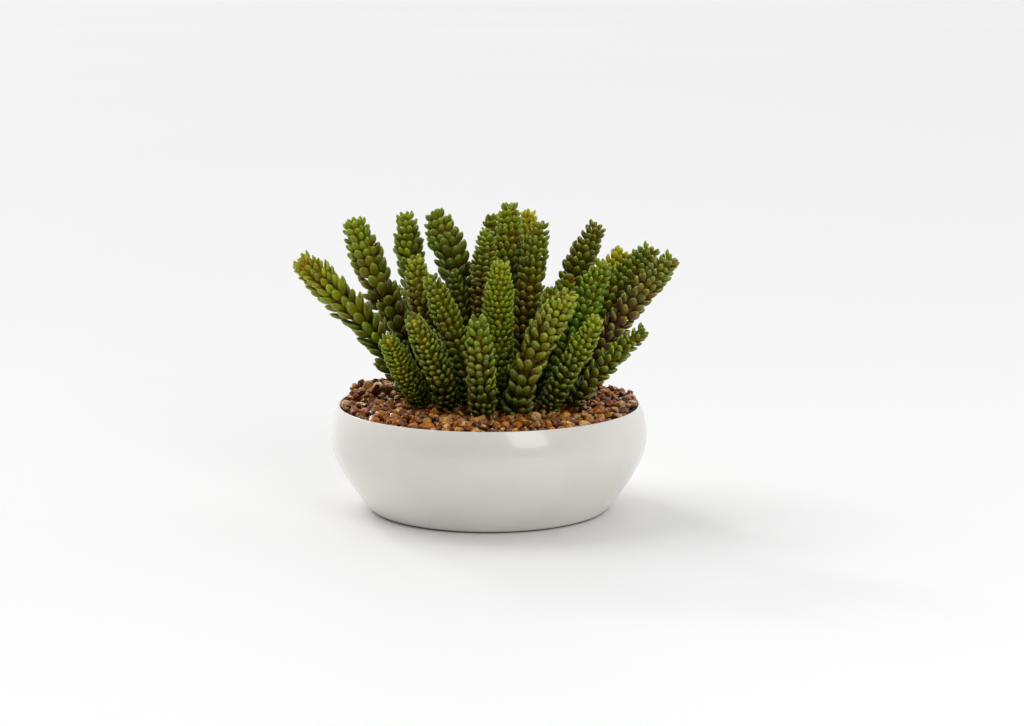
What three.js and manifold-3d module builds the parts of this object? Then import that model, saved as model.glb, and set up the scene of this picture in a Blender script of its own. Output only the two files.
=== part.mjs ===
// A potted burro's tail: a clump of leafy succulent stems that stand in a low, round, white bowl,
// with soil inside and a top dressing of small brown stones. Millimetres, +Z up, +X to the right
// of the front view and -Y towards the viewer. The origin is the middle of the bowl's foot, on
// the surface that the bowl stands on.
import * as THREE from "three";
import { mergeVertices } from "three/addons/utils/BufferGeometryUtils.js";
import Module from "manifold-3d";

const wasm = await Module();
wasm.setup();

// Bowl
const FOOT_RADIUS = 75;
const BELLY_RADIUS = 100;
const BELLY_HEIGHT = 46;
const RIM_RADIUS = 95.3;
const RIM_HEIGHT = 66;
const LOWER_WALL_PULL = 30; // height at which the lower wall's two end tangents meet
const UPPER_WALL_PULL = 58; // the same for the wall that turns in to the rim
const WALL = 2.8;
const FLOOR_TOP = 6;
const FLOOR_RADIUS = 72;
const FLOOR_CORNER = 4; // height over the floor at which the wall's own curve begins inside
const BOWL_SIDES = 36;
const LOWER_WALL_STEPS = 4;
const UPPER_WALL_STEPS = 3;

// Soil and stones
const SEAT_GAP = 0.3; // clearance between pieces that rest on each other
const SIDE_GAP = 0.6; // the same, level, between the bowl's sloping wall and what fills it
const SOIL_TOP = 56;
const STONES_AT_RIM = 64.4; // mean height of the stones where they meet the bowl
const STONES_MOUND = 4.5; // how much higher they are in the middle
const STONE_GRID = 7.6; // distance between neighbouring points of the stones' relief
const STONE_SHIFT = 1.6; // largest sideways draw of a point
const STONE_RISE = [0.4, 2.2]; // how far a stone's top stands over the mean surface
const STONE_DIP = [-1.8, -0.5]; // how deep the gaps between stones go
const STONE_SEED = 7; // of the random draws for the stones

// Leafy stems
const STALK_DEPTH = 18; // how far a bare stalk goes down into stones and soil
const STALK_RADIUS = 2.5;
const CORE_RADIUS = [2.5, 3.1, 1.8]; // of the stem itself, at the stones, halfway and at the tip
const HOLE_GAP = 0.45; // clearance round a stalk, at its corners
const HOLE_RISE = 1; // how far a stalk's hole is cut past the last stone that it meets
const STEM_TURN = 0.7; // how far each stem is turned against the one before it, in radians
const AXIS_SAMPLES = 40; // steps in which the distance to a stem's axis is measured
const BARE_STEP = 0.5; // steps in which the height of the lowest leaves is found
const LEAF_START = 1.5; // how far over that height the lowest leaf leaves the stem
const LAST_LEAF = 5; // how far below the stem's tip the last leaf leaves it
const LAST_GAP = 1.6; // how far below the tip the gaps between leaves end
const LEAF_ROWS = 5; // upright rows of leaves round a stem
const LEAF_TURN = THREE.MathUtils.degToRad(144); // two turns of the stem for each five leaves
const ROW_PITCH = 9.2; // mean distance between the leaves of one row
const TIP_CROWDING = 0.1; // how much closer together the leaves of the last stretch are
const TIP_CROWDING_FROM = 0.65; // share of the stem at which that stretch begins
const LOW_STRETCH = 22; // length of stem over which the lowest leaves change to the usual ones
const TIP_STRETCH = 24; // the same below the tip
const NEIGHBOUR_GAP = 0.35; // clearance that each of two neighbouring stems keeps from the middle

// One leaf
const LEAF_SPREAD = [78, 48, 16]; // degrees off the stem, at the stones, halfway and at the tip
const LEAF_SIZE = [0.8, 1, 0.55]; // share of the full length at the same three places
const LEAF_BACK = 2; // how much less than the stem's reach a leaf spans sideways
const LEAF_WIDTH = 0.56; // share of the leaf's length
const LEAF_SHOULDER = 0.62; // place of its widest part, as a share of its length
const LEAF_BELLY = 0.14; // how far that part stands out downwards, as the same share
const LEAF_ROOT = 0.6; // where it starts inside the stem, as a share of the stem's radius
const LEAF_ROOM = 0.94; // share of the room beside its neighbours that it may fill
const SHRINK_STEP = 0.05; // steps in which a leaf shrinks where it meets a neighbour
const SMALLEST_LEAF = 0.25;
const SHRUNK_FOLD = 0.6; // how much of its spread a leaf gives up as it shrinks

// Every stem, from the front row to the back: where it leaves the stones, where it ends, how far
// to the right its middle stands off the straight line between the two, how far its leaves reach
// from its axis, and its colour.
const STEMS = [
  { base: [-44, -10], tip: [-59, -46, 117], bow: 0, reach: 9.5, colour: "leaf_bright" },
  { base: [-27, -22], tip: [-45, -56, 129], bow: 2, reach: 9.5, colour: "leaf_green" },
  { base: [-3, -48], tip: [-6, -66, 130], bow: 0, reach: 9.5, colour: "leaf_green" },
  { base: [17, -40], tip: [51, -56, 145], bow: -6, reach: 11, colour: "leaf_green" },
  { base: [35, -30], tip: [67, -48, 128], bow: 0, reach: 9.5, colour: "leaf_green" },
  { base: [49, -24], tip: [97, -34, 118], bow: -2, reach: 9, colour: "leaf_deep" },
  { base: [-45, 12], tip: [-120, 0, 156], bow: 8, reach: 11, colour: "leaf_green" },
  { base: [-11, -18], tip: [-34, -32, 152], bow: 3, reach: 10, colour: "leaf_green" },
  { base: [10, -22], tip: [8, -32, 160], bow: -3, reach: 10, colour: "leaf_bright" },
  { base: [27, -6], tip: [40, -12, 141], bow: -1, reach: 7.5, colour: "leaf_green" },
  { base: [38, -12], tip: [72, -10, 157], bow: -2, reach: 10, colour: "leaf_bright" },
  { base: [50, -10], tip: [116, -6, 159], bow: -5, reach: 9, colour: "leaf_russet" },
  { base: [-25, 4], tip: [-46, -4, 159], bow: -3, reach: 9, colour: "leaf_russet" },
  { base: [-13, 8], tip: [-23, 8, 149], bow: 4, reach: 7.5, colour: "leaf_deep" },
  { base: [3, -3], tip: [-1, 6, 175], bow: -4, reach: 9, colour: "leaf_russet" },
  { base: [23, 4], tip: [33, 14, 179], bow: -4, reach: 10, colour: "leaf_green" },
  { base: [37, 10], tip: [51, 12, 146], bow: -3, reach: 7.5, colour: "leaf_green" },
  { base: [50, 6], tip: [103, 16, 163], bow: -8, reach: 10, colour: "leaf_green" },
  { base: [-34, 30], tip: [-87, 32, 180], bow: -3, reach: 11, colour: "leaf_deep" },
  { base: [-10, 24], tip: [-35, 28, 187], bow: 6, reach: 11.5, colour: "leaf_deep" },
  { base: [12, 18], tip: [13, 30, 190], bow: 0, reach: 10, colour: "leaf_green" },
  { base: [36, 24], tip: [69, 40, 176], bow: -6, reach: 10, colour: "leaf_deep" },
  { base: [50, 22], tip: [84, 28, 161], bow: -6, reach: 9, colour: "leaf_bright" },
  { base: [-30, 50], tip: [-52, 48, 183], bow: -5, reach: 10, colour: "leaf_green" },
  { base: [2, 40], tip: [2, 52, 180], bow: 0, reach: 9, colour: "leaf_green" },
  { base: [24, 38], tip: [25, 54, 183], bow: 0, reach: 9.5, colour: "leaf_bright" },
  { base: [-44, 52], tip: [-64, 76, 130], bow: 3, reach: 9, colour: "leaf_russet" },
  { base: [-12, 58], tip: [-20, 92, 142], bow: -2, reach: 9, colour: "leaf_deep" },
  { base: [32, 58], tip: [38, 94, 124], bow: 0, reach: 9, colour: "leaf_green" },
  { base: [52, 42], tip: [88, 70, 128], bow: -4, reach: 9, colour: "leaf_deep" },
];

const materials = {
  bowl_white: standard("#dedbd5", 0.32),
  soil_brown: standard("#3a2a1e", 0.95),
  stones_brown: standard("#9a6238", 0.4),
  leaf_green: standard("#55701f", 0.45),
  leaf_bright: standard("#7a8f27", 0.45),
  leaf_deep: standard("#3f5a24", 0.45),
  leaf_russet: standard("#5e4a26", 0.45),
};

function standard(color, roughness) {
  return new THREE.MeshStandardMaterial({ color, roughness, metalness: 0 });
}

// The same numbers on every run.
function randomDraws(seed) {
  let state = seed;
  return (low, high) => {
    state = (state * 1664525 + 1013904223) % 4294967296;
    return low + ((high - low) * state) / 4294967296;
  };
}

function meshOf(points, triangles) {
  const position = new THREE.Float32BufferAttribute(points.flatMap((p) => p.toArray()), 3);
  return new THREE.BufferGeometry().setAttribute("position", position).setIndex(triangles.flat());
}

function solidOf(geometry) {
  const bare = geometry.clone();
  bare.deleteAttribute("normal");
  bare.deleteAttribute("uv");
  const merged = mergeVertices(bare, 1e-4);
  return new wasm.Manifold(
    new wasm.Mesh({
      numProp: 3,
      vertProperties: merged.getAttribute("position").array,
      triVerts: new Uint32Array(merged.index.array),
    }),
  );
}

function geometryOf(solid) {
  const mesh = solid.getMesh();
  return new THREE.BufferGeometry()
    .setAttribute("position", new THREE.BufferAttribute(mesh.vertProperties, 3))
    .setIndex(new THREE.BufferAttribute(mesh.triVerts, 1));
}

// A solid of revolution about +Z from (radius, height) points that start and end on the axis.
function turned(profile) {
  return new THREE.LatheGeometry(profile, BOWL_SIDES).rotateX(Math.PI / 2);
}

// The bowl's outer wall from the foot to the rim, moved inwards by a distance.
function bowlWall(inwards) {
  const belly = new THREE.Vector2(BELLY_RADIUS, BELLY_HEIGHT);
  const lower = new THREE.QuadraticBezierCurve(
    new THREE.Vector2(FOOT_RADIUS, 0),
    new THREE.Vector2(BELLY_RADIUS, LOWER_WALL_PULL),
    belly,
  );
  const upper = new THREE.QuadraticBezierCurve(
    belly,
    new THREE.Vector2(BELLY_RADIUS, UPPER_WALL_PULL),
    new THREE.Vector2(RIM_RADIUS, RIM_HEIGHT),
  );
  const points = [];
  for (const [curve, first, steps] of [[lower, 0, LOWER_WALL_STEPS], [upper, 1, UPPER_WALL_STEPS]]) {
    for (let i = first; i <= steps; i++) {
      const up = curve.getTangent(i / steps);
      points.push(curve.getPoint(i / steps).add(new THREE.Vector2(-up.y, up.x).multiplyScalar(inwards)));
    }
  }
  return points;
}

// The bowl's hollow, from the middle of its floor up to the rim.
const hollow = [
  new THREE.Vector2(0, FLOOR_TOP),
  new THREE.Vector2(FLOOR_RADIUS, FLOOR_TOP),
  ...bowlWall(WALL).filter((p) => p.y > FLOOR_TOP + FLOOR_CORNER),
];

function bowlGeometry() {
  const lip = new THREE.Vector2(RIM_RADIUS - WALL / 2, RIM_HEIGHT + WALL / 4);
  return turned([new THREE.Vector2(0, 0), ...bowlWall(0), lip, ...hollow.toReversed()]);
}

// A solid that fills the hollow between two heights, clear of the wall.
function filling(bottom, top) {
  const between = hollow.map((p) => p.y).filter((z) => z > bottom && z < top);
  const side = [bottom, ...between, top].map((z) => {
    const below = hollow.slice(0, -1).findLastIndex((p) => p.y <= z);
    const [a, b] = hollow.slice(below, below + 2);
    const share = (z - a.y) / (b.y - a.y);
    return new THREE.Vector2(a.x + (b.x - a.x) * share - SIDE_GAP, z);
  });
  return solidOf(turned([new THREE.Vector2(0, bottom), ...side, new THREE.Vector2(0, top)]));
}

function stonesHeight(x, y) {
  const share = Math.hypot(x, y) / RIM_RADIUS;
  return STONES_AT_RIM + STONES_MOUND * (1 - share * share);
}

function isAboveStones(point) {
  return point.z > stonesHeight(point.x, point.y) + STONE_RISE[1] + NEIGHBOUR_GAP;
}

// A bumpy slab: on a triangular grid every third point is the top of a stone.
function stonesRelief(bottom) {
  const draw = randomDraws(STONE_SEED);
  const rowStep = STONE_GRID * Math.sin(Math.PI / 3);
  const span = 2 * (BELLY_RADIUS + STONE_GRID);
  const rows = Math.ceil(span / rowStep);
  const columns = Math.ceil(span / STONE_GRID);
  const top = [];
  for (let j = 0; j <= rows; j++) {
    for (let i = 0; i <= columns; i++) {
      const isStone = (i + 2 * j - Math.floor(j / 2)) % 3 === 0;
      const x = (i - columns / 2 + (j % 2) / 2) * STONE_GRID + draw(-STONE_SHIFT, STONE_SHIFT);
      const y = (j - rows / 2) * rowStep + draw(-STONE_SHIFT, STONE_SHIFT);
      const bump = draw(...(isStone ? STONE_RISE : STONE_DIP));
      top.push(new THREE.Vector3(x, y, stonesHeight(x, y) + bump));
    }
  }
  const at = (i, j) => j * (columns + 1) + i;
  const triangles = [];
  for (let j = 0; j < rows; j++) {
    for (let i = 0; i < columns; i++) {
      const [a, b, c, d] = [at(i, j), at(i + 1, j), at(i, j + 1), at(i + 1, j + 1)];
      if (j % 2) triangles.push([a, b, d], [a, d, c]);
      else triangles.push([a, b, c], [b, d, c]);
    }
  }
  const edge = [];
  for (let i = 0; i < columns; i++) edge.push(at(i, 0));
  for (let j = 0; j < rows; j++) edge.push(at(columns, j));
  for (let i = columns; i > 0; i--) edge.push(at(i, rows));
  for (let j = rows; j > 0; j--) edge.push(at(0, j));
  const first = top.length;
  const lowEdge = edge.map((v) => top[v].clone().setZ(bottom));
  const points = [...top, ...lowEdge, new THREE.Vector3(0, 0, bottom)];
  edge.forEach((v, k) => {
    const next = (k + 1) % edge.length;
    triangles.push([v, first + k, first + next], [v, first + next, edge[next]]);
    triangles.push([first + edge.length, first + next, first + k]);
  });
  return solidOf(meshOf(points, triangles));
}

// The axis of a stem, with the distance along it measured from the stones: below them it goes on
// straight. Its side directions are taken from +X.
class Axis {
  constructor({ base, tip, bow }) {
    const start = new THREE.Vector3(base[0], base[1], stonesHeight(...base));
    const end = new THREE.Vector3(...tip);
    const middle = start.clone().add(end).multiplyScalar(0.5);
    middle.x += 2 * bow;
    this.curve = new THREE.QuadraticBezierCurve3(start, middle, end);
    this.length = this.curve.getLength();
    this.samples = this.curve.getSpacedPoints(AXIS_SAMPLES);
    this.bare = 0; // where the stalk comes clear of the stones all round
    while (!this.ring(this.bare, 0, STALK_RADIUS).every(isAboveStones)) this.bare += BARE_STEP;
  }
  share(distance) {
    return THREE.MathUtils.clamp(distance / this.length, 0, 1);
  }
  direction(distance) {
    return this.curve.getTangentAt(this.share(distance));
  }
  point(distance) {
    const past = distance < 0 ? distance : Math.max(0, distance - this.length);
    return this.curve.getPointAt(this.share(distance)).addScaledVector(this.direction(distance), past);
  }
  outwards(distance, angle) {
    const along = this.direction(distance);
    const side = new THREE.Vector3(1, 0, 0).addScaledVector(along, -along.x).normalize();
    const front = along.clone().cross(side);
    return side.multiplyScalar(Math.cos(angle)).addScaledVector(front, Math.sin(angle));
  }
  around(distance, angle, radius) {
    return this.point(distance).addScaledVector(this.outwards(distance, angle), radius);
  }
  ring(distance, turn, radius) {
    const angles = Array.from({ length: LEAF_ROWS }, (_, k) => turn + (k * 2 * Math.PI) / LEAF_ROWS);
    return angles.map((angle) => this.around(distance, angle, radius));
  }
  distanceTo(point) {
    return Math.min(...this.samples.map((p) => p.distanceTo(point)));
  }
}

// A value that has one amount at the stones, another along most of the stem and a third at the tip.
function alongStem([low, usual, last], axis, distance) {
  const rising = THREE.MathUtils.smoothstep(distance - axis.bare, 0, LOW_STRETCH);
  const ending = 1 - THREE.MathUtils.smoothstep(axis.length - distance, LAST_LEAF, TIP_STRETCH);
  return low + (usual - low) * rising + (last - usual) * ending;
}

// A leafy stem, raised from its own surface. Leaves and the low points between them lie on one
// spiral, 144 degrees apart, so leaf n has low points n, n - 5, n - 3 and n - 2 at its four
// corners. A leaf adds two shoulders and a tip, and shrinks where it would touch a neighbour.
function stemGeometry(axis, stem, others, turn) {
  const start = axis.bare + LEAF_START;
  const leafy = axis.length - start - LAST_LEAF;
  const count = Math.round((leafy / ROW_PITCH) * LEAF_ROWS);
  const rise = (n) => {
    const share = n / (count - 1);
    const late = Math.max(0, share - TIP_CROWDING_FROM) / (1 - TIP_CROWDING_FROM);
    return start + leafy * ((1 + TIP_CROWDING) * share - TIP_CROWDING * late * late);
  };
  const core = (distance) => alongStem(CORE_RADIUS, axis, distance);
  const lowPoint = (n) => {
    const distance = THREE.MathUtils.clamp(rise(n + LEAF_ROWS / 2), axis.bare, axis.length - LAST_GAP);
    return axis.around(distance, turn + n * LEAF_TURN, core(distance));
  };
  const points = [];
  for (let n = -LEAF_ROWS; n < count; n++) points.push(lowPoint(n));
  const low = (n) => n + LEAF_ROWS;
  const triangles = [];
  for (let n = 0; n < count; n++) {
    const [shoulderA, shoulderB, tip] = leafPoints(n);
    const [a, b, t] = [points.length, points.length + 1, points.length + 2];
    points.push(shoulderA, shoulderB, tip);
    const [bottom, right, left, top] = [low(n - 5), low(n - 2), low(n - 3), low(n)];
    triangles.push([bottom, right, a], [bottom, a, b], [bottom, b, left], [a, t, b]);
    triangles.push([right, top, a], [a, top, t], [t, top, b], [b, top, left]);
  }

  function leafPoints(n) {
    const distance = rise(n);
    const angle = turn + n * LEAF_TURN;
    const out = axis.outwards(distance, angle);
    const along = axis.direction(distance);
    const across = along.clone().cross(out);
    const root = axis.around(distance, angle, LEAF_ROOT * core(distance));
    const spread = THREE.MathUtils.degToRad(alongStem(LEAF_SPREAD, axis, distance));
    const sideways = (stem.reach - LEAF_BACK) * alongStem(LEAF_SIZE, axis, distance);
    for (let size = 1; ; size -= SHRINK_STEP) {
      const long = (size * sideways) / Math.sin(Math.PI / 4);
      const fold = spread * (1 - SHRUNK_FOLD * (1 - size));
      const ahead = along.clone().multiplyScalar(Math.cos(fold)).addScaledVector(out, Math.sin(fold));
      const under = ahead.clone().cross(across).negate();
      const middle = root.clone().addScaledVector(ahead, LEAF_SHOULDER * long);
      middle.addScaledVector(under, LEAF_BELLY * long);
      const room = LEAF_ROOM * axis.distanceTo(middle) * Math.sin(Math.PI / LEAF_ROWS);
      const half = Math.min((LEAF_WIDTH * long) / 2, room);
      const made = [
        middle.clone().addScaledVector(across, half),
        middle.clone().addScaledVector(across, -half),
        root.clone().addScaledVector(ahead, long),
      ];
      if (size < SMALLEST_LEAF || made.every(isFree)) return made;
    }
  }

  function isFree(point) {
    const own = axis.distanceTo(point) + 2 * NEIGHBOUR_GAP;
    return isAboveStones(point) && others.every((other) => other.distanceTo(point) > own);
  }

  // The ring of low points round the stem at either end, in the order of their angles.
  const ringFrom = (first) => [0, 3, 1, 4, 2].map((step) => low(first + step));
  const foot = points.length;
  points.push(...axis.ring(-STALK_DEPTH, turn, STALK_RADIUS), ...axis.ring(0, turn, STALK_RADIUS));
  const lowest = ringFrom(-LEAF_ROWS);
  const highest = ringFrom(count - LEAF_ROWS);
  const bud = points.length;
  points.push(axis.point(axis.length));
  for (let k = 0; k < LEAF_ROWS; k++) {
    const next = (k + 1) % LEAF_ROWS;
    const [a, b] = [foot + k, foot + next];
    const [c, d] = [a + LEAF_ROWS, b + LEAF_ROWS];
    triangles.push([a, b, d], [a, d, c], [c, d, lowest[next]], [c, lowest[next], lowest[k]]);
    triangles.push([highest[k], highest[next], bud]);
    if (k > 0 && k < LEAF_ROWS - 1) triangles.push([foot, b, a]);
  }
  return meshOf(points, triangles);
}

// The plain hole that a stalk stands in.
function holeSolid(axis, turn) {
  const points = [];
  for (const distance of [-STALK_DEPTH - SEAT_GAP, axis.bare + HOLE_RISE]) {
    points.push(...axis.ring(distance, turn, STALK_RADIUS + HOLE_GAP));
  }
  const triangles = [];
  for (let k = 0; k < LEAF_ROWS; k++) {
    const next = (k + 1) % LEAF_ROWS;
    triangles.push([k, next, next + LEAF_ROWS], [k, next + LEAF_ROWS, k + LEAF_ROWS]);
    if (k > 0 && k < LEAF_ROWS - 1) {
      triangles.push([0, next, k], [LEAF_ROWS, LEAF_ROWS + k, LEAF_ROWS + next]);
    }
  }
  return solidOf(meshOf(points, triangles));
}

function named(name, geometry, material) {
  const mesh = new THREE.Mesh(geometry, materials[material]);
  mesh.name = name;
  return mesh;
}

const axes = STEMS.map((stem) => new Axis(stem));
const turns = STEMS.map((_, i) => i * STEM_TURN);
const holes = axes.map((axis, i) => holeSolid(axis, turns[i]));
const drilled = (body) => holes.reduce((left, hole) => left.subtract(hole), body);
const soil = filling(FLOOR_TOP + SEAT_GAP, SOIL_TOP);
const slab = filling(SOIL_TOP + SEAT_GAP, RIM_HEIGHT + STONES_MOUND);
const stones = slab.intersect(stonesRelief(FLOOR_TOP));

const plant = new THREE.Group();
plant.add(named("bowl", bowlGeometry(), "bowl_white"));
plant.add(named("soil", geometryOf(drilled(soil)), "soil_brown"));
plant.add(named("stones", geometryOf(drilled(stones)), "stones_brown"));
STEMS.forEach((stem, i) => {
  const others = axes.filter((_, j) => j !== i);
  const name = "stem_" + String(i + 1).padStart(2, "0");
  plant.add(named(name, stemGeometry(axes[i], stem, others, turns[i]), stem.colour));
});

export default plant;
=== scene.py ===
"""Looks of the potted donkey tail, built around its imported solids.

The solids give each leafy stem a few large leaves, the stones a bumpy slab and the bowl flat
facets. This script puts the real number of plump leaves on the same stems, heaps loose stones on
the same surface and turns the bowl's smooth wall. Lengths are in millimetres until a mesh is made,
and in metres in the materials and for the floor, the lights and the camera.
"""

import math

import bmesh
import bpy
import numpy as np
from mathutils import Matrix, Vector


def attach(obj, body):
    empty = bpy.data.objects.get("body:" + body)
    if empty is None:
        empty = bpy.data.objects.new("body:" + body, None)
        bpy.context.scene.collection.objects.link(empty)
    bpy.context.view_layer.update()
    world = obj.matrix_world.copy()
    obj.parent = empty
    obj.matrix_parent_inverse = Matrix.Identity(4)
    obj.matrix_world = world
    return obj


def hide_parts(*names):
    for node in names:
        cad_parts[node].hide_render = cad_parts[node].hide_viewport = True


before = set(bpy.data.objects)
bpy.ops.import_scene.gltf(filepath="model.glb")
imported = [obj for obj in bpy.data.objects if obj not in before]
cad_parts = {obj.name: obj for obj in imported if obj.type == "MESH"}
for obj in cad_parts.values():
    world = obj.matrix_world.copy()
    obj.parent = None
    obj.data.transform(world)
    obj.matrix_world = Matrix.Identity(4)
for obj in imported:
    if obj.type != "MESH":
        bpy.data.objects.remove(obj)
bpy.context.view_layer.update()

MM = 0.001

# Bowl, soil and stones as in the solids
FOOT_RADIUS = 75
BELLY_RADIUS = 100
BELLY_HEIGHT = 46
RIM_RADIUS = 95.3
RIM_HEIGHT = 66
LOWER_WALL_PULL = 30  # height at which the lower wall's two end tangents meet
UPPER_WALL_PULL = 58  # the same for the wall that turns in to the rim
WALL = 2.8
FLOOR_TOP = 6
FLOOR_RADIUS = 72
SOIL_TOP = 56
SEAT_GAP = 0.3  # clearance between the soil and the stones on it
STONES_AT_RIM = 64.4  # mean height of the stones where they meet the bowl
STONES_MOUND = 4.5  # how much higher they are in the middle

# Smooth bowl
LIP = 1.3  # thickness of the wall at its rounded edge
LIP_HEIGHT = 66.7  # height of that edge
FOOT_ROUNDING = 1.4
BOWL_SIDES = 192
LOWER_WALL_STEPS = 40
UPPER_WALL_STEPS = 26
FOOT_STEPS = 5
LIP_STEPS = 9

# Heap of stones
HEAP_BAND = (50, 88)  # distances from the middle between which the heaps along the rim rise
HEAPING = 1.6  # how much higher the loose stones lie along the rim
SIDE_HEAPING = 3.4  # and how much more at its two sides
BACK_HEAPING = 3.2  # and how much more at its back
LEFT_HEAP = 4.2  # how high the round heap at the left is
LEFT_HEAP_PLACE = (-72, 36)
LEFT_HEAP_SPREAD = 15

# Loose stones: each class has its smallest and largest radius and how often a stone is tried
STONES_RADIUS = 93.4  # how far out the stones reach
TOP_STONES = [(4.0, 5.0, 130), (2.9, 3.8, 2200), (2.2, 2.8, 7000), (1.6, 2.1, 7000)]
LOW_STONES = [(2.8, 3.6, 2600), (2.0, 2.6, 4000)]
TOP_SEED = 11
LOW_SEED = 12
TOP_LIFT = (-1.6, 2.4)  # heights of the stones' tops over the heap's mean surface
LOW_LIFT = (-3.8, -1.9)
STONE_GAP = 0.84  # least distance between two stones, as a share of their radii together
STONE_INSIDE = 0.6  # share of a stone's radius that stays within the stones' reach
STONE_SHAPE = [(1.0, 1.25), (0.82, 1.0), (0.7, 0.98)]  # shares of the radius along three axes
STONE_GROWTH = 1.2  # makes up for what the wear takes off
STONE_LUMPS = (0.09, 0.07, 0.05)  # heights of its lumps, as shares of its radius
LUMP_WAVES = 1.7  # how closely the lumps follow each other
STONE_FACES = 11  # how many worn places a stone has
STONE_WEAR = (0.62, 0.88)  # how far from its middle they lie, as a share of its radius
STONE_TILT = 1.1  # its largest tilt, in radians
STONE_EDGE = math.radians(32)  # facets that meet at more than this have a sharp edge

# Packed bed under the loose stones
BED_DEPTH = 4.2  # how far it lies below the heap's mean surface
BED_ROUGHNESS = 0.9  # how far its points lie above and below that
BED_INSIDE = 1  # how much smaller than the stones' reach it is
BED_RINGS = 44
BED_SIDES = 144
BED_SEED = 5

# Leafy stems
STALK_DEPTH = 6  # how far a stem goes on below the stones' mean surface
AXIS_STEPS = 200
NEAR_STEPS = 8  # every so many points of an axis are enough to measure a leaf's distance to it
REACH_GAIN = 1.07  # how much further than the solid's reach the leaves end
TIP_REACH = 0.66  # share of that at the stem's tip
TIP_STRETCH = 28  # length of stem over which it comes to all of it
FIRST_STEM_SEED = 101
STEM_TURN = 0.7  # how far each stem's rings are turned from those of the one before, in radians

# Core of a stem, under its leaves
THINNEST_CORE = 1.2
CORE_TAPER = (-5, 6)  # distances from the tip between which it comes to its thickness
CORE_OVERLAP = 0.25  # how deep the leaves' roots sit in it
CORE_END = 1.5  # how far below the stem's tip it ends
CORE_SIDES = 10
CORE_RINGS = 40
CORE_ALONG = 0.15  # it has the colours of a leaf at this share of the leaf's length
CORE_DRAW = 0.5

# Rings of leaves
FIRST_RING = 0.7  # distance from the tip, as a share of the youngest leaves' length
LAST_RING = 0.5  # rings end above this height over the stones
FEWEST_LEAVES = 3  # in a ring
TIP_ROOM = 0.35  # how much more room leaves take at the tip, as a share
TIP_ROOM_TO = 9  # distance from the tip at which that ends
YOUNG_STRETCH = (3, 46)  # distances from the tip between which leaves come to their full size
LOWEST_RINGS = 0.68  # how close rings are at the stones, as a share
LOW_STRETCH = 22  # length of stem over which they change to the usual ones
LOW_POWER = 0.7  # the size of the leaves there goes with this power of it

# How leaves stand
SEEKING_LIGHT = 0.15  # how much they turn upwards
LOW_SPREAD = 16  # how many degrees further they spread at the stones
LOW_SPREAD_TO = 16  # height over the stones at which that ends
TIP_FOLD = 0.3  # share of their spread that the youngest give up
TIP_FOLD_FROM = (1.5, 10)  # distances from the tip between which they do
FOLD_AT = 1.12  # leaves fold back whose tips are this many times nearer to another stem's axis
FOLD_ROUNDS = 6
FOLD_LENGTH = 0.92  # what each round leaves of their length
FOLD_SPREAD = 0.88  # and of their spread

# How leaves vary at random
RISE_DRAW = 0.13  # along the stem, as a share of the distance between rings
PLACE_DRAW = 0.08  # around the stem, as a share of a leaf's room, by ring and by leaf
SPREAD_DRAW = 7  # in degrees
SIZE_DRAW = (0.86, 1.12)
ROLL_DRAW = 0.2  # about their own length, in radians
BEND_DRAW = (0.6, 1.4)

# One leaf
LEAF_HALF_WIDTHS = [
    (0, 0.35), (0.08, 0.52), (0.2, 0.78), (0.35, 0.96), (0.5, 1),
    (0.65, 0.965), (0.785, 0.83), (0.885, 0.62), (0.95, 0.4), (1, 0),
]  # as shares of a leaf's length and of half its width
LEAF_TOP = 0.72  # height of the side that faces the stem's tip, as a share of the other side's
LEAF_BEND = 0.13  # how far its tip bends inwards, as a share of its length
TIP_EDGE = 0.6  # how near its tip counts as being to its edge
FINE_LEAF = (7, 10)  # rings and sides of a leaf's mesh
COARSE_LEAF = (5, 8)
FINE_FROM = 5.1  # leaves wider than this have the fine mesh

# Colours as seen in daylight
SUNLIT = "#d0c810"
LEMON = "#b2b00a"
LIME = "#8a9c06"
GREEN = "#677d04"
MOSS = "#526002"
DEEP = "#384502"
BLUISH = "#4a800e"
GREYISH = "#52601a"
OLIVE = "#625a02"
AMBER = "#8c5804"
RUSSET = "#5a2e02"
MAROON = "#4c1a08"
MAUVE = "#6a4434"
LEAF_ROOTS = ["#382606", "#6c4c04", "#aa8e0e"]  # from the stem's lower end to its tip
LEAF_TIP = "#96a81a"
# The next colour is a painted highlight: the pale light caught along a leaf's rim and at its point
LEAF_RIM_HIGHLIGHT = "#bcc86a"

# How leaves are set on a stem: the distance between rings, a full-grown leaf's length, width and
# thickness, its angle off the stem, the size of the youngest leaves, the room that a leaf takes in
# its ring as a share of its width, and the turn from ring to ring as a share of that.
LOOSE = dict(step=7.6, long=13.2, wide=6.2, thick=4.5, spread=48, young=0.54, room=1.16, turn=0)
LARGE = dict(step=7.6, long=10.8, wide=6.6, thick=5.6, spread=52, young=0.6, room=1.0, turn=0.4)
BROAD = dict(step=6.2, long=9.0, wide=5.2, thick=4.8, spread=55, young=0.64, room=1.1, turn=0.5)
CLOSE = dict(step=5.4, long=7.8, wide=4.4, thick=4.1, spread=56, young=0.7, room=1.08, turn=0.1)
BEADS = dict(step=5.0, long=6.8, wide=4.4, thick=4.2, spread=56, young=0.74, room=1.0, turn=0.1)
PLUMP = dict(step=8.0, long=9.8, wide=6.4, thick=6.0, spread=52, young=0.5, room=1.0, turn=0.1)
FINE = dict(step=3.8, long=6.2, wide=3.2, thick=2.9, spread=58, young=0.84, room=1.04, turn=0.5)
STACKED = dict(step=3.9, long=6.8, wide=5.0, thick=3.3, spread=64, young=0.76, room=0.98, turn=0)
WHORLS = dict(step=5.5, long=7.8, wide=4.6, thick=4.8, spread=52, young=0.92, room=1.0, turn=0)

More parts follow.
